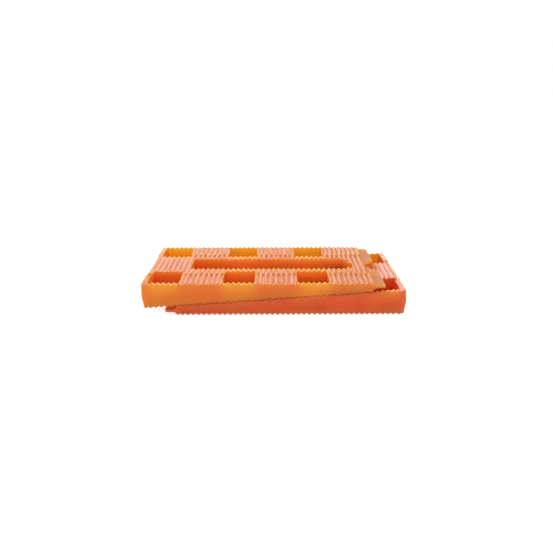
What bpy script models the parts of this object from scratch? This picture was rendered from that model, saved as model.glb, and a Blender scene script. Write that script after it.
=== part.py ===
"""A nesting pair of small plastic felling wedges, modelled in metres with +Z up.

Both wedges are the same moulding. One lies flat face down, the other is turned end for end on
top of it, so that the toothed sloping faces lock together and the two outer faces stay parallel.
The origin is under the middle of the pair, on the surface that it stands on. The wedges' length
runs along X and their width along Y.
"""

import math

import bmesh
import bpy
from mathutils import Matrix, Vector

MM = 0.001

# Overall size of one wedge.
WEDGE_LENGTH = 140.0 * MM
WEDGE_WIDTH = 63.5 * MM
THICK_END = 16.0 * MM      # over the tooth crests, at the struck end
THIN_END = 6.1 * MM        # over the tooth crests, where the teeth stop

# Sawtooth ribs, which run across both faces. Fractions are parts of one pitch.
TOOTH_PITCH = 3.08 * MM
TOOTH_COUNT = 43
TOOTH_HEIGHT = 1.0 * MM
LAND_FRACTION = 0.12       # flat crest, and flat root, of a tooth
STEEP_FRACTION = 0.37      # from the middle of a root to the middle of the next crest
FLAT_FACE_PHASE = -STEEP_FRACTION   # puts a crest on each whole pitch of the flat face
SLOPED_FACE_PHASE = 0.0             # puts a root on each whole pitch of the sloping face
STAGGER = 0.5              # offset of the middle strip's teeth

# Plan: three lanes across the width. The outer lanes have windows, the middle one a slot.
OUTER_WALL = 2.0 * MM
INNER_WALL = 3.9 * MM
LANE_WIDTH = (WEDGE_WIDTH - 2 * OUTER_WALL - 2 * INNER_WALL) / 3
WINDOW_TEETH = ((1, 7), (15, 21), (29, 35))   # first and last pitch of each window
SLOT_START_TEETH = 8
SLOT_END = 124.8 * MM
SLOT_DIAGONAL = 4.6 * MM   # length of the diagonal that cuts one of the slot's end corners
SLOT_LEDGE_LENGTH = 4.0 * MM   # a step that fills the other end corner
SLOT_LEDGE_WIDTH = 1.8 * MM
WINDOW_RADIUS = 1.0 * MM
CORNER_RADIUS = 1.6 * MM
ARC_STEPS = 3

# Struck end: drafted both ways from a narrow land at half its height.
CROWN = 0.7 * MM
CROWN_LAND = 1.2 * MM

# Smooth tongue at the thin end, split by a flared notch.
TONGUE_THICKNESS = 1.35 * MM
TONGUE_DROP = 1.95 * MM    # from the flat face's crests down to the tongue
TONGUE_RAMP = 1.9 * MM     # length of the slope from the teeth to the tongue
NOTCH_ROOT_WIDTH = 4.6 * MM
NOTCH_MOUTH_WIDTH = 16.6 * MM

# How the pair lies.
NEST_GAP = 0.5 * MM        # height of the clearance between the two toothed faces
NEST_TEETH = 49            # whole pitches between the two struck ends

TEETH_LENGTH = TOOTH_COUNT * TOOTH_PITCH
SLOPE = (THICK_END - THIN_END) / TEETH_LENGTH
NEST_LENGTH = (NEST_TEETH + 2 * SLOPED_FACE_PHASE + STEEP_FRACTION) * TOOTH_PITCH
NEST_HEIGHT = 2 * THICK_END - SLOPE * NEST_LENGTH - TOOTH_HEIGHT + NEST_GAP
CUT_MARGIN = 5.0 * MM      # how far a cutter stands out of what it cuts


def clear_scene():
    for item in list(bpy.data.objects):
        bpy.data.objects.remove(item, do_unlink=True)


def tooth_profile(phase):
    """Points (x, depth under the crest line) of one row of teeth, from the struck end on."""
    half_land = LAND_FRACTION / 2
    corners = (
        (-half_land, TOOTH_HEIGHT),
        (half_land, TOOTH_HEIGHT),
        (STEEP_FRACTION - half_land, 0.0),
        (STEEP_FRACTION + half_land, 0.0),
    )
    points = []
    for tooth in range(-2, TOOTH_COUNT + 2):
        for fraction, depth in corners:
            points.append(((tooth + phase + fraction) * TOOTH_PITCH, depth))
    return clip_profile(points, 0.0, TEETH_LENGTH)


def clip_profile(points, start, end):
    """The part of a profile between two x values, with a point on each of them."""
    kept = []
    for (x0, d0), (x1, d1) in zip(points, points[1:]):
        for edge in (start, end):
            if x0 < edge < x1:
                kept.append((edge, d0 + (d1 - d0) * (edge - x0) / (x1 - x0)))
        if start <= x1 <= end:
            kept.append((x1, d1))
    return kept


def side_outline(shift):
    """The wedge's outline seen from the side, with its teeth moved along by a part of a pitch.

    The flat face is up, at z = THICK_END, and the sloping face's crests start from z = 0.
    """
    flat = [
        (x, THICK_END - depth)
        for x, depth in tooth_profile(FLAT_FACE_PHASE + shift)
    ]
    sloped = [
        (x, SLOPE * x + depth)
        for x, depth in tooth_profile(SLOPED_FACE_PHASE + shift)
    ]
    tongue_top = THICK_END - TONGUE_DROP
    tongue_foot = TEETH_LENGTH + TONGUE_RAMP
    tongue = [
        (tongue_foot, tongue_top),
        (WEDGE_LENGTH, tongue_top),
        (WEDGE_LENGTH, tongue_top - TONGUE_THICKNESS),
        (tongue_foot, tongue_top - TONGUE_THICKNESS),
    ]
    middle = THICK_END / 2
    crown = [
        (-CROWN, middle - CROWN_LAND / 2),
        (-CROWN, middle + CROWN_LAND / 2),
    ]
    return flat + tongue + sloped[::-1] + crown


def rounded_polygon(corners):
    """Plan points of a polygon whose corners, each (x, y, radius), are rounded by arcs."""
    points = []
    count = len(corners)
    for index, (x, y, radius) in enumerate(corners):
        here = Vector((x, y))
        before = Vector(corners[index - 1][:2]) - here
        after = Vector(corners[(index + 1) % count][:2]) - here
        if radius == 0:
            points.append(here)
            continue
        half_angle = before.angle(after) / 2
        reach = radius / math.tan(half_angle)
        bisector = (before.normalized() + after.normalized()).normalized()
        centre = here + bisector * radius / math.sin(half_angle)
        first = here + before.normalized() * reach - centre
        last = here + after.normalized() * reach - centre
        turn = math.atan2(first.x * last.y - first.y * last.x, first.dot(last))
        for step in range(ARC_STEPS + 1):
            spoke = first.copy()
            spoke.rotate(Matrix.Rotation(turn * step / ARC_STEPS, 2))
            points.append(centre + spoke)
    return points


def add_prism(mesh, outline, offset):
    """Adds a closed prism: an outline of points, pushed along the offset."""
    base = mesh.faces.new([mesh.verts.new(point) for point in outline])
    pushed = bmesh.ops.extrude_face_region(mesh, geom=[base])
    moved = [part for part in pushed["geom"] if isinstance(part, bmesh.types.BMVert)]
    bmesh.ops.translate(mesh, verts=moved, vec=offset)
    bmesh.ops.recalc_face_normals(mesh, faces=mesh.faces[:])


def mesh_object(name, mesh):
    data = bpy.data.meshes.new(name)
    mesh.to_mesh(data)
    mesh.free()
    item = bpy.data.objects.new(name, data)
    bpy.context.scene.collection.objects.link(item)
    return item


def make_strips(name, strips, shift):
    """Toothed strips of the wedge, each between two y values."""
    mesh = bmesh.new()
    for low, high in strips:
        outline = [Vector((x, low, z)) for x, z in side_outline(shift)]
        add_prism(mesh, outline, Vector((0, high - low, 0)))
    return mesh_object(name, mesh)


def make_plan_cutter(name, plans):
    """Upright prisms over plan outlines, tall enough to pass right through the wedge."""
    mesh = bmesh.new()
    for plan in plans:
        outline = [Vector((point.x, point.y, -CUT_MARGIN)) for point in plan]
        add_prism(mesh, outline, Vector((0, 0, THICK_END + 2 * CUT_MARGIN)))
    item = mesh_object(name, mesh)
    item.hide_render = True
    item.display_type = "WIRE"
    return item


def blank_plan():
    """The wedge's outline from above, with its rounded corners and the notch in its tongue."""
    side = WEDGE_WIDTH / 2
    mouth = NOTCH_MOUTH_WIDTH / 2
    root = NOTCH_ROOT_WIDTH / 2
    return rounded_polygon([
        (-CROWN, -side, CORNER_RADIUS),
        (WEDGE_LENGTH, -side, CORNER_RADIUS),
        (WEDGE_LENGTH, -mouth, 0),
        (TEETH_LENGTH, -root, 0),
        (TEETH_LENGTH, root, 0),
        (WEDGE_LENGTH, mouth, 0),
        (WEDGE_LENGTH, side, CORNER_RADIUS),
        (-CROWN, side, CORNER_RADIUS),
    ])


def window_plans():
    """The six windows of the outer lanes, seen from above."""
    outer = WEDGE_WIDTH / 2 - OUTER_WALL
    inner = outer - LANE_WIDTH
    plans = []
    for first, last in WINDOW_TEETH:
        start = first * TOOTH_PITCH
        end = last * TOOTH_PITCH
        for low, high in ((-outer, -inner), (inner, outer)):
            plans.append(rounded_polygon([
                (start, low, WINDOW_RADIUS),
                (end, low, WINDOW_RADIUS),
                (end, high, WINDOW_RADIUS),
                (start, high, WINDOW_RADIUS),
            ]))
    return plans


def slot_plan():
    """The long slot of the middle lane, with one far corner cut off and the other one stepped."""
    start = SLOT_START_TEETH * TOOTH_PITCH
    half = LANE_WIDTH / 2
    ledge = SLOT_END - SLOT_LEDGE_LENGTH
    return rounded_polygon([
        (start, -half, WINDOW_RADIUS),
        (ledge, -half, 0),
        (ledge, SLOT_LEDGE_WIDTH - half, 0),
        (SLOT_END, SLOT_LEDGE_WIDTH - half, 0),
        (SLOT_END, 0, 0),
        (SLOT_END - SLOT_DIAGONAL, half, 0),
        (start, half, WINDOW_RADIUS),
    ])


def apply_booleans(item, steps):
    """The item's mesh after a row of Boolean steps with other objects, which are then removed."""
    for operation, other in steps:
        modifier = item.modifiers.new(other.name, "BOOLEAN")
        modifier.operation = operation
        modifier.solver = "EXACT"
        modifier.object = other
    evaluated = item.evaluated_get(bpy.context.evaluated_depsgraph_get())
    result = bpy.data.meshes.new_from_object(evaluated)
    for spent in [item] + [other for _, other in steps]:
        bpy.data.objects.remove(spent, do_unlink=True)
    return result


def wedge_mesh():
    """One wedge, flat face up, with its origin on the sloping face at the struck end."""
    edge = WEDGE_WIDTH / 2
    strip = WEDGE_WIDTH / 4
    middle = make_strips("middle_strip", [(-strip, strip)], STAGGER)
    sides = make_strips("side_strips", [(-edge, -strip), (strip, edge)], 0.0)
    blank = make_plan_cutter("blank", [blank_plan()])
    windows = make_plan_cutter("windows", window_plans() + [slot_plan()])
    result = apply_booleans(middle, [
        ("UNION", sides),
        ("INTERSECT", blank),
        ("DIFFERENCE", windows),
    ])
    result.name = "wedge"
    return result


def plastic_material(name, colour):
    """Orange moulded plastic with a soft sheen, a little light passing under its surface."""
    material = bpy.data.materials.new(name)
    material.use_nodes = True
    shader = material.node_tree.nodes["Principled BSDF"]
    shader.inputs["Base Color"].default_value = (*colour, 1.0)
    shader.inputs["Roughness"].default_value = 0.4
    shader.inputs["Metallic"].default_value = 0.0
    shader.inputs["Subsurface Weight"].default_value = 0.3
    shader.inputs["Subsurface Scale"].default_value = 0.004
    material.diffuse_color = (*colour, 1.0)
    return material


def place_wedge(name, mesh, material, location, turned):
    """A wedge of the pair. A turned one lies flat face down, with its ends swapped."""
    item = bpy.data.objects.new(name, mesh)
    bpy.context.scene.collection.objects.link(item)
    item.location = location
    item.rotation_euler = (0.0, math.pi if turned else 0.0, 0.0)
    item.material_slots[0].link = "OBJECT"
    item.material_slots[0].material = material
    return item


def build():
    clear_scene()
    mesh = wedge_mesh()
    mesh.materials.clear()
    mesh.materials.append(None)
    lower_orange = plastic_material("lower_orange", (0.80, 0.145, 0.035))
    upper_orange = plastic_material("upper_orange", (0.86, 0.22, 0.05))
    struck_end = NEST_LENGTH / 2
    place_wedge("lower_wedge", mesh, lower_orange, (struck_end, 0, THICK_END), True)
    place_wedge("upper_wedge", mesh, upper_orange, (-struck_end, 0, NEST_HEIGHT - THICK_END), False)


build()
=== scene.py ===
"""Looks for a nesting pair of felling wedges.

Each wedge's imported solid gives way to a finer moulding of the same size, with soft ribs, rounded
rims, drafted walls and a parting line. Both are one orange plastic that lets some light through.
Lengths are in metres. A wedge is built with x running from its struck end to its tip, y across
it, and z up towards its flat face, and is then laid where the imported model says.
"""

import math

import bpy
import numpy as np
from mathutils import Matrix, Vector
from mathutils.geometry import delaunay_2d_cdt


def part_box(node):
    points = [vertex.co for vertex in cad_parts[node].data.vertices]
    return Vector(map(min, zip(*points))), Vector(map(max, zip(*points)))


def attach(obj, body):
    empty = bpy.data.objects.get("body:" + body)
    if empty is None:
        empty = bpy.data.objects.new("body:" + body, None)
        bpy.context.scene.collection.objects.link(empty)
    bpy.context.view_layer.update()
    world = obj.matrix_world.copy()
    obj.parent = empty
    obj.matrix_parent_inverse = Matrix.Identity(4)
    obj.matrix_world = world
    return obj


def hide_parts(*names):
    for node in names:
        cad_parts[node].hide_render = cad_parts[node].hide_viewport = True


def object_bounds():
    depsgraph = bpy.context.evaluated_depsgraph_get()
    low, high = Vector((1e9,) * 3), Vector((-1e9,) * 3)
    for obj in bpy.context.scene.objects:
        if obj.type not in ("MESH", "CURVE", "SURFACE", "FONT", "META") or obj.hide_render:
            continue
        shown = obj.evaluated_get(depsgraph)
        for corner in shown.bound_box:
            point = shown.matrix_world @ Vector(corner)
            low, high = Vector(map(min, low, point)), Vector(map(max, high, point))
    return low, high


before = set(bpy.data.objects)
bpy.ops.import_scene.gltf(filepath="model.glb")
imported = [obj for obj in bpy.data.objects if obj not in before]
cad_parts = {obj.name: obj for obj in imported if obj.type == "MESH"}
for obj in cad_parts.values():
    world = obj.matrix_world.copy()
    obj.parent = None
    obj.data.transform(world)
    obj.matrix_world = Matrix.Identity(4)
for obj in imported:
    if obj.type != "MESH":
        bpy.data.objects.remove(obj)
cad_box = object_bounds()

MM = 0.001

# Size of one wedge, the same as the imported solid's.
WEDGE_LENGTH = 140.0 * MM
WEDGE_WIDTH = 63.5 * MM
THICK_END = 16.0 * MM
THIN_END = 6.1 * MM

# Sawtooth ribs. Fractions are parts of one pitch.
RIB_PITCH = 3.08 * MM
RIB_COUNT = 43
RIB_HEIGHT = 1.0 * MM
LAND_FRACTION = 0.12
STEEP_FRACTION = 0.37
STAGGER = 0.5
FACE_PHASE = {"flat": -STEEP_FRACTION, "sloped": 0.0}
RIB_ROUNDING = 0.25 * MM       # how far along x a rib's corner is softened
STRIP_EDGE = WEDGE_WIDTH / 4   # where the middle strip's ribs meet the side strips'
STRIP_BAND = 0.16 * MM         # width of the step between the strips

# Windows and slot.
OUTER_WALL = 2.0 * MM
INNER_WALL = 3.9 * MM
LANE_WIDTH = (WEDGE_WIDTH - 2 * OUTER_WALL - 2 * INNER_WALL) / 3
WINDOW_RIBS = ((1, 7), (15, 21), (29, 35))
SLOT_START_RIBS = 8
SLOT_END = 124.8 * MM
SLOT_DIAGONAL = 4.6 * MM
SLOT_LEDGE_LENGTH = 4.0 * MM
SLOT_LEDGE_WIDTH = 1.8 * MM
WINDOW_RADIUS = 1.0 * MM
CORNER_RADIUS = 1.6 * MM
SMALL_RADIUS = 0.6 * MM

# Struck end, tongue and notch.
CROWN = 0.7 * MM
CROWN_LAND = 1.2 * MM
TONGUE_THICKNESS = 1.35 * MM
TONGUE_DROP = 1.95 * MM
TONGUE_RAMP = 1.9 * MM
NOTCH_ROOT_WIDTH = 4.6 * MM
NOTCH_MOUTH_WIDTH = 16.6 * MM

# Marks of the mould.
RIM_RADIUS = {"flat": 0.17 * MM, "sloped": 0.12 * MM}
DRAFT = 0.08 * MM              # how far a wall leans in between the parting line and its rim
FLASH = 0.05 * MM              # height of the parting line's ridge
FLASH_HALF = 0.10 * MM         # half of the ridge's width at its foot
SINK = 0.22 * MM               # depth of the hollow in the ribs over a solid block

# Wear and painted light, as shares of the pale, trough-shade and gap-shade dyes: wear with a
# painted highlight and sheen, painted shade in the troughs and where the wedges mesh.
SLOPED_WEAR_AND_SHEEN = 1.2              # wear and painted sheen all over the ribs of the sloped face
TONGUE_WEAR = 0.6
TONGUE_DEPTH = 1.05            # rib heights below the crests at which the tongue starts
EXPOSED_LENGTH = 17.0 * MM     # how much of the sloped face stays clear of the other wedge
GAP_SHADE_BAND = 1.5 * MM           # width of the painted gap shade along an outer wall, and of its fade
# Share of the pale dye: wear plus a painted highlight on crests and rims, and a painted sheen on
# the sloped face.
PALE_SHARE = 0.55
# Share of the painted shade in the rib troughs.
TROUGH_SHADE_SHARE = 0.68

# Fineness of the mesh.
RIM_STEPS = 3
ARC_STEPS = 6
CROSS_STEP = 3.0 * MM          # spacing of points across the ribs
END_MARGIN = 0.04 * MM         # how near a straight wall's ends its points may come
SHORT = 0.05 * MM              # how far from a slanting wall a rib's line stops
CLOSE = 1e-7

RIBS_LENGTH = RIB_COUNT * RIB_PITCH
SLOPE = (THICK_END - THIN_END) / RIBS_LENGTH
TONGUE_TOP = THICK_END - TONGUE_DROP

# Camera, measured from the point under the middle of the pair.
CAMERA_PLACE = Vector((-1.48, -276.2, 128.2)) * MM
CAMERA_PITCH = math.radians(23.01)
CAMERA_YAW = math.radians(0.61)
CAMERA_ROLL = math.radians(0.08)
CAMERA_LENS = 30.64
SENSOR_WIDTH = 36.0

# Floor.
FLOOR_HALF = 3.0
FLOOR_GAP = 0.05 * MM          # how far under the pair the floor lies
FLOOR_BOUNCE = (0.50, 0.49, 0.48)
FLOOR_SHOWN = (0.95, 0.95, 0.95)
GLOW_NEAR, GLOW_FAR = 0.60, 1.0             # added brightness of the shown floor
GLOW_NEAR_REACH, GLOW_FAR_REACH = 0.35, 0.80   # metres from the pair

# Light. Each softbox: name, bearing, rise, width and height in degrees, brightness.
ROOM_LIGHT = 0.19
SOFTBOX_DISTANCE = 1.0
LIGHT_BOUNCES = 12
SOFTBOXES = (
    ("back_left", -12.0, 23.5, 25.0, 23.0, 7.4),
    ("back_low", 8.0, 17.0, 16.0, 12.0, 2.2),
    ("back_right", 42.0, 28.5, 35.0, 13.0, 6.8),
    ("left", -90.0, 15.0, 60.0, 28.0, 2.5),
    ("right", 90.0, 15.0, 60.0, 28.0, 1.4),
    ("front", 180.0, 15.0, 100.0, 28.0, 1.9),
    ("front_high", 180.0, 45.0, 90.0, 28.0, 0.5),
)


# ---------------------------------------------------------------- ribbed faces

def rib_corners(phase):
    """Sharp (x, depth) corners of a row of ribs, from the struck end to the end of the ribs."""
    half_land = LAND_FRACTION / 2
    pattern = np.array([
        (-half_land, RIB_HEIGHT),
        (half_land, RIB_HEIGHT),
        (STEEP_FRACTION - half_land, 0.0),
        (STEEP_FRACTION + half_land, 0.0),
    ])
    ribs = np.arange(-2, RIB_COUNT + 2)
    x = ((ribs[:, None] + phase + pattern[None, :, 0]) * RIB_PITCH).ravel()
    depth = np.tile(pattern[:, 1], len(ribs))
    inner = (x > CLOSE) & (x < RIBS_LENGTH - CLOSE)
    kept_x = np.concatenate([[0.0], x[inner], [RIBS_LENGTH]])
    return np.column_stack([kept_x, np.interp(kept_x, x, depth)])


def softened(points):
    """A profile with each inner corner turned into a short curve."""
    soft = [points[0]]
    for before, here, after in zip(points, points[1:], points[2:]):
        ends = []
        for other in (before, after):
            run = abs(other[0] - here[0])
            ends.append(here + (other - here) * min(RIB_ROUNDING / run, 0.5))
        soft += [ends[0], (ends[0] + 2 * here + ends[1]) / 4, ends[1]]
    soft.append(points[-1])
    soft = np.array(soft)
    fresh = np.concatenate([[True], np.diff(soft[:, 0]) > 10 * CLOSE])
    return soft[fresh]


def face_profile(face, strip):
    """(x, z) points along one face in one strip, from the struck end to the tip."""
    shift = STAGGER if strip == "middle" else 0.0
    ribs = rib_corners(FACE_PHASE[face] + shift)
    if face == "flat":
        heights = THICK_END - ribs[:, 1]
        tongue = TONGUE_TOP
    else:
        heights = SLOPE * ribs[:, 0] + ribs[:, 1]
        tongue = TONGUE_TOP - TONGUE_THICKNESS
    tail = [(RIBS_LENGTH + TONGUE_RAMP, tongue), (WEDGE_LENGTH, tongue)]
    return softened(np.vstack([np.column_stack([ribs[:, 0], heights]), tail]))


PROFILES = {
    (face, strip): face_profile(face, strip)
    for face in ("flat", "sloped")
    for strip in ("middle", "side")
}


def solid_blocks():
    """Plan rectangles (x from, x to, y from, y to) of the solid blocks between the windows."""
    outer = WEDGE_WIDTH / 2 - OUTER_WALL
    inner = outer - LANE_WIDTH
    ends = [last * RIB_PITCH for _, last in WINDOW_RIBS]
    starts = [first * RIB_PITCH for first, _ in WINDOW_RIBS[1:]] + [RIBS_LENGTH]
    blocks = [(0.0, SLOT_START_RIBS * RIB_PITCH, -LANE_WIDTH / 2, LANE_WIDTH / 2)]
    for start, end in zip(ends, starts):
        blocks.append((start, end, inner, outer))
        blocks.append((start, end, -outer, -inner))
    return blocks


def sink(x, y):
    """Depth of the shallow hollows that the plastic leaves over its thick blocks."""
    depth = np.zeros_like(x)
    for x0, x1, y0, y1 in solid_blocks():
        along = np.clip((x - x0) / (x1 - x0), 0, 1)
        across = np.clip((y - y0) / (y1 - y0), 0, 1)
        depth += SINK * np.sin(math.pi * along) ** 2 * np.sin(math.pi * across) ** 2
    return depth


def height(face, x, y):
    """Height of a face over plan points."""
    side = np.clip((np.abs(y) - STRIP_EDGE) / STRIP_BAND + 0.5, 0, 1)
    middle_z = np.interp(x, *PROFILES[face, "middle"].T)
    side_z = np.interp(x, *PROFILES[face, "side"].T)
    inwards = -1 if face == "flat" else 1
    return middle_z + side * (side_z - middle_z) + inwards * sink(x, y)


def parting_height(x):
    """Height of the surface where the two halves of the mould meet."""
    return (THICK_END + SLOPE * np.clip(x, 0, None)) / 2


# ---------------------------------------------------------------- walls in plan

def stations(start, end):
    """Places along a straight wall, from 0 to 1, where it needs a point."""
    run = end - start
    found = []
    if abs(run[0]) > CLOSE:
        strip = "side" if abs(start[1] + end[1]) / 2 > STRIP_EDGE else "middle"
        for face in ("flat", "sloped"):
            found += list((PROFILES[face, strip][:, 0] - start[0]) / run[0])
    if abs(run[1]) > CLOSE:
        reach = math.floor(WEDGE_WIDTH / 2 / CROSS_STEP)
        levels = [step * CROSS_STEP for step in range(-reach, reach + 1)]
        levels += [side * (STRIP_EDGE + half) for side in (-1, 1)
                   for half in (-STRIP_BAND / 2, STRIP_BAND / 2)]
        found += [(level - start[1]) / run[1] for level in levels]
    margin = END_MARGIN / math.hypot(*run)
    found = sorted(t for t in found if margin < t < 1 - margin)
    spread = []
    for t in found:
        if not spread or (t - spread[-1]) > margin / 2:
            spread.append(t)
    return spread


def wall_line(corners):
    """Points and outward normals round a wall in plan.

    Corners are (x, y, radius), listed with the material on the left. A corner's arc swings the
    normal from one straight stretch's to the next one's.
    """
    places = [np.array(corner[:2]) for corner in corners]
    count = len(places)
    arcs = []
    for index, here in enumerate(places):
        arriving = here - places[index - 1]
        leaving = places[(index + 1) % count] - here
        arriving = arriving / np.linalg.norm(arriving)
        leaving = leaving / np.linalg.norm(leaving)
        turn = math.atan2(
            arriving[0] * leaving[1] - arriving[1] * leaving[0], arriving @ leaving)
        radius = math.copysign(corners[index][2], turn)
        first = math.atan2(-arriving[0], arriving[1])
        start = here - arriving * abs(radius) * math.tan(abs(turn) / 2)
        centre = start - radius * np.array([math.cos(first), math.sin(first)])
        angles = first + turn * np.linspace(0, 1, ARC_STEPS + 1)
        normals = np.column_stack([np.cos(angles), np.sin(angles)])
        arcs.append((centre + radius * normals, normals))
    points, normals = [], []
    for (arc, swing), (following, _) in zip(arcs, arcs[1:] + arcs[:1]):
        points += list(arc)
        normals += list(swing)
        start, end = arc[-1], following[0]
        for t in stations(start, end):
            points.append(start + t * (end - start))
            normals.append(swing[-1])
    return np.array(points), np.array(normals)


def outer_corners():
    """The wedge's outline, round its notch, kept inside its box by the parting line's ridge."""
    side = WEDGE_WIDTH / 2 - FLASH
    tip = WEDGE_LENGTH - FLASH
    mouth = NOTCH_MOUTH_WIDTH / 2
    root = NOTCH_ROOT_WIDTH / 2
    return [
        (0.0, -side, CORNER_RADIUS),
        (tip, -side, CORNER_RADIUS),
        (tip, -mouth, SMALL_RADIUS),
        (RIBS_LENGTH, -root, SMALL_RADIUS),
        (RIBS_LENGTH, root, SMALL_RADIUS),
        (tip, mouth, SMALL_RADIUS),
        (tip, side, CORNER_RADIUS),
        (0.0, side, CORNER_RADIUS),
    ]


def window_corners():
    """Plan corners of the six windows, listed with the material on the left."""
    outer = WEDGE_WIDTH / 2 - OUTER_WALL
    inner = outer - LANE_WIDTH
    windows = []
    for first, last in WINDOW_RIBS:
        start, end = first * RIB_PITCH, last * RIB_PITCH
        for low, high in ((-outer, -inner), (inner, outer)):
            windows.append([
                (start, low, WINDOW_RADIUS),
                (start, high, WINDOW_RADIUS),
                (end, high, WINDOW_RADIUS),
                (end, low, WINDOW_RADIUS),
            ])
    return windows


def slot_corners():
    """Plan corners of the long slot, with the diagonal and the ledge at its far end."""
    half = LANE_WIDTH / 2
    start = SLOT_START_RIBS * RIB_PITCH
    ledge = SLOT_END - SLOT_LEDGE_LENGTH
    return [
        (start, -half, WINDOW_RADIUS),
        (start, half, WINDOW_RADIUS),
        (SLOT_END - SLOT_DIAGONAL, half, SMALL_RADIUS),
        (SLOT_END, 0.0, SMALL_RADIUS),
        (SLOT_END, SLOT_LEDGE_WIDTH - half, SMALL_RADIUS),
        (ledge, SLOT_LEDGE_WIDTH - half, SMALL_RADIUS),
        (ledge, -half, SMALL_RADIUS),
    ]


# ---------------------------------------------------------------- mesh of one wedge

class Moulding:
    """Gathers the points and faces of one wedge, and each point's marks of wear and of painted
    light.
    """

    def __init__(self):
        self.points = []
        self.wear_and_highlight = []
        self.trough_shade = []
        self.gap_shade = []
        self.faces = []

    def add_points(self, xyz, wear_and_highlight, trough_shade=0.0, gap_shade=0.0):
        """Adds points, with one mark of each kind for all of them or one for each."""
        first = len(self.points)
        self.points += xyz.tolist()
        self.wear_and_highlight += np.broadcast_to(wear_and_highlight, len(xyz)).tolist()
        self.trough_shade += np.broadcast_to(trough_shade, len(xyz)).tolist()
        self.gap_shade += np.broadcast_to(gap_shade, len(xyz)).tolist()
        return np.arange(first, len(self.points))

    def add_wall(self, levels):
        """Joins rings of points, the first one highest, into a wall that faces outwards."""
        for upper, lower in zip(levels, levels[1:]):
            ahead_upper, ahead_lower = np.roll(upper, -1), np.roll(lower, -1)
            quads = np.column_stack([lower, ahead_lower, ahead_upper, upper])
            self.faces += quads.tolist()


def gap_shade_mask(face, x, y):
    """Painted shade where the wedges mesh: 1 in mesh by the outer walls, 0 in the open and further
    in.
    """
    if face == "flat":
        return np.zeros(len(x))
    along = np.clip((x - EXPOSED_LENGTH) / RIB_PITCH, 0, 1)
    inwards = (WEDGE_WIDTH / 2 - np.abs(y)) / GAP_SHADE_BAND
    return along * np.clip(2 - inwards, 0, 1)


def rim_rings(moulding, face, points, normals):
    """Rings down a rounded rim, from the ribbed face to the wall."""
    rings = []
    inwards = -1 if face == "flat" else 1
    radius = RIM_RADIUS[face]
    for angle in np.linspace(0, math.pi / 2, RIM_STEPS + 1):
        inset = DRAFT + radius * (1 - math.sin(angle))
        place = points - inset * normals
        level = height(face, place[:, 0], place[:, 1])
        level = level + inwards * radius * (1 - math.cos(angle))
        # Rims are pale at the top and less so down the side: wear plus a painted highlight.
        wear_and_highlight = 1.0 - angle / math.pi
        # The painted gap shade fades down the rim.
        gap_shade = gap_shade_mask(face, place[:, 0], place[:, 1]) * math.cos(angle)
        rings.append(moulding.add_points(np.column_stack([place, level]), wear_and_highlight, 0.0, gap_shade))
    return rings


def parting_rings(moulding, points, normals, outermost, half_height):
    """Rings along the parting line, with its small ridge. The struck end bulges out to them."""
    bulge = (CROWN - FLASH) * np.clip(-normals[:, 0], 0, None) if outermost else 0.0
    middle = parting_height(points[:, 0])
    land = np.minimum(CROWN_LAND / 2, half_height / 2)
    offsets = [(FLASH_HALF, 0.0), (0.0, FLASH), (-FLASH_HALF, 0.0)]
    if outermost:
        offsets = [(land, 0.0)] + offsets + [(-land, 0.0)]
    rings = []
    for rise, proud in offsets:
        place = points + proud * normals
        place = place - np.column_stack([bulge * np.ones(len(points)), np.zeros(len(points))])
        rings.append(moulding.add_points(np.column_stack([place, middle + rise]), 0.0))
    return rings


def in_plan(points, edges):
    """Whether points lie in the material, by the even-odd rule over all walls' edges."""
    (x0, y0), (x1, y1) = edges[:, 0].T, edges[:, 1].T
    slanting = np.abs(y1 - y0) > 1e-12
    x0, y0, x1, y1 = x0[slanting], y0[slanting], x1[slanting], y1[slanting]
    x, y = points[:, 0][:, None], points[:, 1][:, None]
    crossed = (y0 > y) != (y1 > y)
    beyond = x < x0 + (y - y0) * (x1 - x0) / (y1 - y0)
    return (crossed & beyond).sum(axis=1) % 2 == 1


def line_stops(x, low, high, rim, edges):
    """Where the line at x meets the rims between low and high: (y, rim point or None)."""
    stops = [(low, None), (high, None)]
    on_line = np.flatnonzero(np.abs(rim[:, 0] - x) < CLOSE)
    for index in on_line:
        if low - CLOSE < rim[index, 1] < high + CLOSE:
            stops.append((rim[index, 1], int(index)))
    start, end = edges[:, 0], edges[:, 1]
    spanning = (np.minimum(start[:, 0], end[:, 0]) < x - CLOSE) & (
        np.maximum(start[:, 0], end[:, 0]) > x + CLOSE)
    for (x0, y0), (x1, y1) in zip(start[spanning], end[spanning]):
        y = y0 + (x - x0) * (y1 - y0) / (x1 - x0)
        if low < y < high:
            stops.append((y, -1))
    return sorted(stops, key=lambda stop: stop[0])


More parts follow.
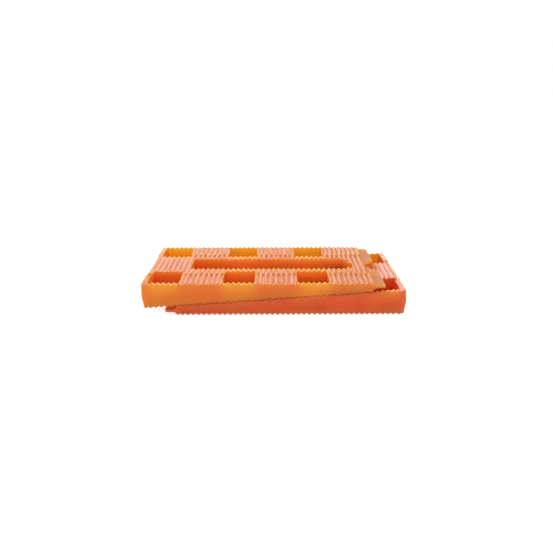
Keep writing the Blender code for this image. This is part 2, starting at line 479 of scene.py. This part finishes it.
def rib_lines(face, rim, edges):
    """Lines across the ribs, as extra plan points and the pairs of points that they join.

    A line ends on a rim's own point, on the step between two strips, or just short of a slanting
    wall. A pair's number below len(rim) is a rim point, and the others count on from there.
    """
    far = WEDGE_WIDTH
    inner, outer = STRIP_EDGE - STRIP_BAND / 2, STRIP_EDGE + STRIP_BAND / 2
    strips = [("side", -far, -outer), ("middle", -inner, inner), ("side", outer, far)]
    spans = []
    for strip, low, high in strips:
        for x in PROFILES[face, strip][1:-1, 0]:
            stops = line_stops(x, low, high, rim, edges)
            spans += [(x, a, b) for a, b in zip(stops, stops[1:]) if b[0] - a[0] > 3 * SHORT]
    middles = np.array([(x, (a[0] + b[0]) / 2) for x, a, b in spans])
    extra, pairs = [], []
    for (x, a, b), kept in zip(spans, in_plan(middles, edges)):
        if not kept:
            continue
        chain = []
        for (y, index), shift in ((a, SHORT), (b, -SHORT)):
            if index is not None and index >= 0:
                chain.append(index)
                continue
            extra.append((x, y if index is None else y + shift))
            chain.append(len(rim) + len(extra) - 1)
        levels = np.arange(math.ceil(a[0] / CROSS_STEP), b[0] / CROSS_STEP) * CROSS_STEP
        between = [y for y in levels if a[0] + CROSS_STEP / 4 < y < b[0] - CROSS_STEP / 4]
        inside = []
        for y in between:
            extra.append((x, y))
            inside.append(len(rim) + len(extra) - 1)
        chain = [chain[0]] + inside + [chain[1]]
        pairs += list(zip(chain, chain[1:]))
    extra = np.array(extra)
    everything = np.vstack([rim, extra])
    for level in (-outer, -inner, inner, outer):
        row = np.flatnonzero(np.abs(everything[:, 1] - level) < CLOSE)
        row = row[np.argsort(everything[row, 0])]
        centres = (everything[row[:-1]] + everything[row[1:]]) / 2
        for a, b, kept in zip(row, row[1:], in_plan(centres, edges)):
            if kept:
                pairs.append((int(a), int(b)))
    return extra, pairs


def add_face(moulding, face, rims):
    """Fills a ribbed face between the top rings of its rims."""
    rim_points = np.concatenate(rims)
    rim = np.array(moulding.points)[rim_points][:, :2]
    pairs = []
    first = 0
    for ring in rims:
        numbers = np.arange(first, first + len(ring))
        pairs += list(zip(numbers.tolist(), np.roll(numbers, -1).tolist()))
        first += len(ring)
    edges = rim[np.array(pairs)]
    extra, line_pairs = rib_lines(face, rim, edges)
    plan = np.vstack([rim, extra]) / MM
    flat_points, _, triangles, origins, _, _ = delaunay_2d_cdt(
        [Vector(point) for point in plan], pairs + line_pairs, [], 0, 1e-6)
    place = np.array([tuple(point) for point in flat_points]) * MM
    level = height(face, place[:, 0], place[:, 1])
    profile_low = THICK_END if face == "flat" else SLOPE * np.clip(place[:, 0], 0, RIBS_LENGTH)
    depth = np.abs(profile_low - level) / RIB_HEIGHT
    # Pale on the crests: wear plus a painted highlight. The sloped face is pale all over: wear
    # plus a painted sheen.
    wear_and_highlight = np.clip(1 - depth, 0, 1) ** 2
    # Darker in the troughs of the flat face: painted shade.
    trough_shade = np.clip(depth, 0, 1) ** 2
    tongue = depth > TONGUE_DEPTH
    wear_and_highlight[tongue] = TONGUE_WEAR
    trough_shade[tongue] = 0.0
    if face == "sloped":
        wear_and_highlight = np.maximum(wear_and_highlight, SLOPED_WEAR_AND_SHEEN)
        trough_shade[:] = 0.0
    # Deep red where the wedges mesh: painted shade for the dark gap line.
    gap_shade = gap_shade_mask(face, place[:, 0], place[:, 1])
    numbers = moulding.add_points(np.column_stack([place, level]), wear_and_highlight, trough_shade, gap_shade)
    for number, origin in enumerate(origins):
        rim_origin = [index for index in origin if index < len(rim)]
        if rim_origin:
            numbers[number] = rim_points[rim_origin[0]]
    triangles = np.array(triangles)
    corners = place[triangles]
    kept = triangles[in_plan(corners.mean(axis=1), edges)]
    corners = place[kept]
    one, two = corners[:, 1] - corners[:, 0], corners[:, 2] - corners[:, 0]
    clockwise = one[:, 0] * two[:, 1] - one[:, 1] * two[:, 0] < 0
    kept[clockwise] = kept[clockwise][:, ::-1]
    if face == "sloped":
        kept = kept[:, ::-1]
    moulding.faces += numbers[kept].tolist()


def moulding_mesh(name):
    """The fine mesh of one wedge, with attributes for its material: wear with a painted highlight,
    and painted shade.
    """
    moulding = Moulding()
    rims = {"flat": [], "sloped": []}
    for index, corners in enumerate([outer_corners(), slot_corners()] + window_corners()):
        points, normals = wall_line(corners)
        upper = rim_rings(moulding, "flat", points, normals)
        lower = rim_rings(moulding, "sloped", points, normals)
        z = np.array(moulding.points)[:, 2]
        half_height = np.minimum(
            z[upper[-1]] - parting_height(points[:, 0]),
            parting_height(points[:, 0]) - z[lower[-1]])
        middle = parting_rings(moulding, points, normals, index == 0, half_height)
        moulding.add_wall(upper + middle + lower[::-1])
        rims["flat"].append(upper[0])
        rims["sloped"].append(lower[0])
    for face in ("flat", "sloped"):
        add_face(moulding, face, rims[face])
    used = np.unique(np.concatenate([np.array(face) for face in moulding.faces]))
    renumbered = np.zeros(len(moulding.points), int)
    renumbered[used] = np.arange(len(used))
    faces = [renumbered[face].tolist() for face in moulding.faces]
    mesh = bpy.data.meshes.new(name)
    mesh.from_pydata(np.array(moulding.points)[used].tolist(), [], faces)
    marks = {"wear_and_highlight": moulding.wear_and_highlight, "trough_shade": moulding.trough_shade, "gap_shade": moulding.gap_shade}
    for kind, values in marks.items():
        attribute = mesh.attributes.new(kind, "FLOAT", "POINT")
        attribute.data.foreach_set("value", np.array(values, np.float32)[used])
    mesh.shade_smooth()
    mesh.set_sharp_from_angle(angle=math.radians(50))
    return mesh


def lay_wedge(name, mesh, material, node, turned):
    """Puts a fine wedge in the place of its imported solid. A turned one lies flat face down."""
    low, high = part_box(node)
    piece = bpy.data.objects.new(name, mesh)
    bpy.context.scene.collection.objects.link(piece)
    if turned:
        spin = Matrix.Rotation(math.pi, 4, "Y")
        place = Vector((high.x - CROWN, 0, low.z + THICK_END))
    else:
        spin = Matrix.Identity(4)
        place = Vector((low.x + CROWN, 0, high.z - THICK_END))
    piece.matrix_world = Matrix.Translation(place) @ spin
    piece.data.materials.append(material)
    weighted = piece.modifiers.new("weighted_normals", "WEIGHTED_NORMAL")
    weighted.keep_sharp = True
    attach(piece, node)
    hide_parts(node)
    return piece


# ---------------------------------------------------------------- materials

class Nodes:
    """Short ways to add and link shader nodes."""

    def __init__(self, material):
        material.use_nodes = True
        self.tree = material.node_tree
        self.shader = self.tree.nodes["Principled BSDF"]

    def add(self, kind, **settings):
        node = self.tree.nodes.new(kind)
        for key, value in settings.items():
            setattr(node, key, value)
        return node

    def link(self, source, target):
        self.tree.links.new(source, target)

    def noise(self, vector, scale, detail, roughness=0.5):
        node = self.add("ShaderNodeTexNoise")
        node.inputs["Scale"].default_value = scale
        node.inputs["Detail"].default_value = detail
        node.inputs["Roughness"].default_value = roughness
        self.link(vector, node.inputs["Vector"])
        return node.outputs["Fac"]

    def ramp(self, value, low, high, to_low=0.0, to_high=1.0):
        node = self.add("ShaderNodeMapRange")
        node.inputs["From Min"].default_value = low
        node.inputs["From Max"].default_value = high
        node.inputs["To Min"].default_value = to_low
        node.inputs["To Max"].default_value = to_high
        self.link(value, node.inputs["Value"])
        return node.outputs["Result"]

    def math(self, operation, one, two):
        node = self.add("ShaderNodeMath", operation=operation)
        for socket, value in zip(node.inputs, (one, two)):
            if isinstance(value, (int, float)):
                socket.default_value = value
            else:
                self.link(value, socket)
        return node.outputs["Value"]

    def mix(self, factor, one, two):
        node = self.add("ShaderNodeMix", data_type="RGBA")
        self.link(factor, node.inputs["Factor"])
        for name, value in (("A", one), ("B", two)):
            socket = [s for s in node.inputs if s.name == name and s.type == "RGBA"][0]
            if isinstance(value, tuple):
                socket.default_value = (*value, 1.0)
            else:
                self.link(value, socket)
        return [s for s in node.outputs if s.type == "RGBA"][0]


# Dye of each wedge: plain, richer where the colour is cloudy, paler on worn crests (wear plus a
# painted highlight), darker in the troughs (painted shade), and deep red where the two wedges mesh
# (painted shade).
UPPER_DYE = (
    (0.99, 0.225, 0.030), (0.99, 0.205, 0.025), (0.99, 0.39, 0.05),
    (0.66, 0.13, 0.015), (0.88, 0.07, 0.008),
)
# The lower wedge is the same plastic as the upper. Its redder, darker dyes are painted shade for
# the less light that gets into it.
LOWER_SHADED_DYE = (
    (0.99, 0.13, 0.024), (0.99, 0.11, 0.018), (0.99, 0.36, 0.17),
    (0.66, 0.08, 0.012), (0.90, 0.06, 0.010),
)

# Where each wedge lies in the grain, so that the two don't have the same clouds and scuffs.
LOWER_GRAIN_SHIFT = (0.31, 0.07, 0.13)
UPPER_GRAIN_SHIFT = (0.0, 0.0, 0.0)


def plastic_material(name, dye, offset):
    """Translucent orange polyethylene, with mould grain, cloudy dye, scuffs, worn ribs with a
    painted highlight, and painted shade in the troughs and where the wedges mesh.
    """
    material = bpy.data.materials.new(name)
    nodes = Nodes(material)
    shader = nodes.shader
    places = nodes.add("ShaderNodeTexCoord")
    shifted = nodes.add("ShaderNodeMapping")
    shifted.inputs["Location"].default_value = offset
    nodes.link(places.outputs["Object"], shifted.inputs["Vector"])
    point = shifted.outputs["Vector"]
    wear_and_highlight = nodes.add("ShaderNodeAttribute", attribute_name="wear_and_highlight").outputs["Fac"]
    trough_shade = nodes.add("ShaderNodeAttribute", attribute_name="trough_shade").outputs["Fac"]
    gap_shade = nodes.add("ShaderNodeAttribute", attribute_name="gap_shade").outputs["Fac"]

    cloud = nodes.ramp(nodes.noise(point, 70.0, 3.0), 0.35, 0.65)
    speckle = nodes.noise(point, 900.0, 4.0, 0.6)
    worn_and_highlit = nodes.math("MULTIPLY", wear_and_highlight, nodes.ramp(speckle, 0.25, 0.70))
    plain, rich, pale, trough_shade_colour, gap_shade_colour = dye
    colour = nodes.mix(cloud, plain, rich)
    # Darker in the rib troughs: painted shade.
    colour = nodes.mix(nodes.math("MULTIPLY", trough_shade, TROUGH_SHADE_SHARE), colour, trough_shade_colour)
    # Paler on crests, rims and the sloped face: wear plus a painted highlight and sheen.
    colour = nodes.mix(nodes.math("MULTIPLY", worn_and_highlit, PALE_SHARE), colour, pale)
    # Deep red where the wedges mesh: painted shade for the dark gap line.
    colour = nodes.mix(gap_shade, colour, gap_shade_colour)
    nodes.link(colour, shader.inputs["Base Color"])

    streaks = nodes.add("ShaderNodeMapping")
    streaks.inputs["Scale"].default_value = (0.06, 1.0, 1.0)
    nodes.link(point, streaks.inputs["Vector"])
    scuff = nodes.ramp(nodes.noise(streaks.outputs["Vector"], 1600.0, 2.0), 0.60, 0.72)
    rough = nodes.ramp(nodes.noise(point, 350.0, 3.0), 0.3, 0.7, 0.30, 0.42)
    rough = nodes.math("ADD", rough, nodes.math("MULTIPLY", scuff, 0.10))
    rough = nodes.math("ADD", rough, nodes.math("MULTIPLY", worn_and_highlit, 0.08))
    nodes.link(rough, shader.inputs["Roughness"])

    grain = nodes.noise(point, 3200.0, 2.0, 0.6)
    relief = nodes.math("SUBTRACT", grain, nodes.math("MULTIPLY", scuff, 0.6))
    bump = nodes.add("ShaderNodeBump")
    bump.inputs["Strength"].default_value = 0.35
    bump.inputs["Distance"].default_value = 0.03 * MM
    nodes.link(relief, bump.inputs["Height"])
    nodes.link(bump.outputs["Normal"], shader.inputs["Normal"])

    shader.subsurface_method = "RANDOM_WALK"
    shader.inputs["Subsurface Weight"].default_value = 1.0
    shader.inputs["Subsurface Radius"].default_value = (8.0, 10.0, 0.6)
    shader.inputs["Subsurface Scale"].default_value = 1.0 * MM
    shader.inputs["IOR"].default_value = 1.5
    material.diffuse_color = (*plain, 1.0)
    return material


def floor_material():
    """Matt sweep that shows white, but throws little light back up at the wedges."""
    material = bpy.data.materials.new("white_sweep")
    nodes = Nodes(material)
    seen = nodes.add("ShaderNodeLightPath").outputs["Is Camera Ray"]
    shade = nodes.mix(seen, FLOOR_BOUNCE, FLOOR_SHOWN)
    nodes.link(shade, nodes.shader.inputs["Base Color"])
    away = nodes.add("ShaderNodeVectorMath", operation="LENGTH")
    nodes.link(nodes.add("ShaderNodeTexCoord").outputs["Object"], away.inputs[0])
    glow = nodes.ramp(
        away.outputs["Value"], GLOW_NEAR_REACH, GLOW_FAR_REACH, GLOW_NEAR, GLOW_FAR)
    nodes.link(nodes.math("MULTIPLY", seen, glow), nodes.shader.inputs["Emission Strength"])
    nodes.shader.inputs["Emission Color"].default_value = (1.0, 1.0, 1.0, 1.0)
    nodes.shader.inputs["Roughness"].default_value = 0.9
    nodes.shader.inputs["Specular IOR Level"].default_value = 0.1
    return material


# ---------------------------------------------------------------- stage

def make_floor():
    """A plain square sweep under the pair."""
    half = FLOOR_HALF
    corners = [(-half, -half, 0), (half, -half, 0), (half, half, 0), (-half, half, 0)]
    mesh = bpy.data.meshes.new("floor")
    mesh.from_pydata(corners, [], [(0, 1, 2, 3)])
    mesh.materials.append(floor_material())
    floor = bpy.data.objects.new("floor", mesh)
    floor.location.z = cad_box[0].z - FLOOR_GAP
    bpy.context.scene.collection.objects.link(floor)


def add_softbox(name, bearing, rise, width, tall, brightness):
    """A softbox that faces the pair. Bearing is degrees right of straight behind it, rise is
    degrees up, width and tall are how many degrees it spans, and a white card shows as 1."""
    bearing, rise = math.radians(bearing), math.radians(rise)
    ray = Vector((
        math.sin(bearing) * math.cos(rise),
        math.cos(bearing) * math.cos(rise),
        math.sin(rise),
    ))
    light = bpy.data.lights.new(name, "AREA")
    light.shape = "RECTANGLE"
    light.size = 2 * SOFTBOX_DISTANCE * math.tan(math.radians(width / 2))
    light.size_y = 2 * SOFTBOX_DISTANCE * math.tan(math.radians(tall / 2))
    light.energy = brightness * math.pi * light.size * light.size_y
    item = bpy.data.objects.new(name, light)
    item.location = ray * SOFTBOX_DISTANCE
    item.rotation_euler = (-ray).to_track_quat("-Z", "Y").to_euler()
    item.visible_camera = False
    bpy.context.scene.collection.objects.link(item)


def make_lights():
    """A dim white room that shows as plain white, and softboxes round the pair."""
    world = bpy.data.worlds.new("white_studio")
    bpy.context.scene.world = world
    world.use_nodes = True
    tree = world.node_tree
    background = tree.nodes["Background"]
    seen = tree.nodes.new("ShaderNodeLightPath").outputs["Is Camera Ray"]
    strength = tree.nodes.new("ShaderNodeMapRange")
    strength.inputs["To Min"].default_value = ROOM_LIGHT
    strength.inputs["To Max"].default_value = 1.0
    tree.links.new(seen, strength.inputs["Value"])
    tree.links.new(strength.outputs["Result"], background.inputs["Strength"])
    background.inputs["Color"].default_value = (1.0, 1.0, 1.0, 1.0)
    for softbox in SOFTBOXES:
        add_softbox(*softbox)
    bpy.context.scene.cycles.diffuse_bounces = LIGHT_BOUNCES


def make_camera():
    """A camera on a stand in front of the pair, looking down at it."""
    sideways, down = CAMERA_YAW, CAMERA_PITCH
    ahead = Vector((
        math.sin(sideways) * math.cos(down),
        math.cos(sideways) * math.cos(down),
        -math.sin(down),
    ))
    level = Vector((math.cos(sideways), -math.sin(sideways), 0.0))
    upward = level.cross(ahead)
    right = math.cos(CAMERA_ROLL) * level + math.sin(CAMERA_ROLL) * upward
    up = right.cross(ahead)
    base = (cad_box[0] + cad_box[1]) / 2
    place = Vector((base.x, base.y, cad_box[0].z)) + CAMERA_PLACE
    lens = bpy.data.cameras.new("camera")
    lens.lens = CAMERA_LENS
    lens.sensor_width = SENSOR_WIDTH
    lens.clip_start = 0.01
    camera = bpy.data.objects.new("camera", lens)
    camera.matrix_world = Matrix((right, up, -ahead)).transposed().to_4x4()
    camera.location = place
    bpy.context.scene.collection.objects.link(camera)
    bpy.context.scene.camera = camera


make_camera()
make_lights()
make_floor()
lower_shaded_plastic = plastic_material("orange_plastic_lower_shaded", LOWER_SHADED_DYE, LOWER_GRAIN_SHIFT)
upper_plastic = plastic_material("orange_plastic_upper", UPPER_DYE, UPPER_GRAIN_SHIFT)
lower_mesh = moulding_mesh("lower_moulding")
upper_mesh = moulding_mesh("upper_moulding")
lay_wedge("lower_wedge_moulding", lower_mesh, lower_shaded_plastic, "lower_wedge", turned=True)
lay_wedge("upper_wedge_moulding", upper_mesh, upper_plastic, "upper_wedge", turned=False)
bpy.context.scene.view_settings.view_transform = "Standard"
bpy.context.scene.view_settings.look = "None"
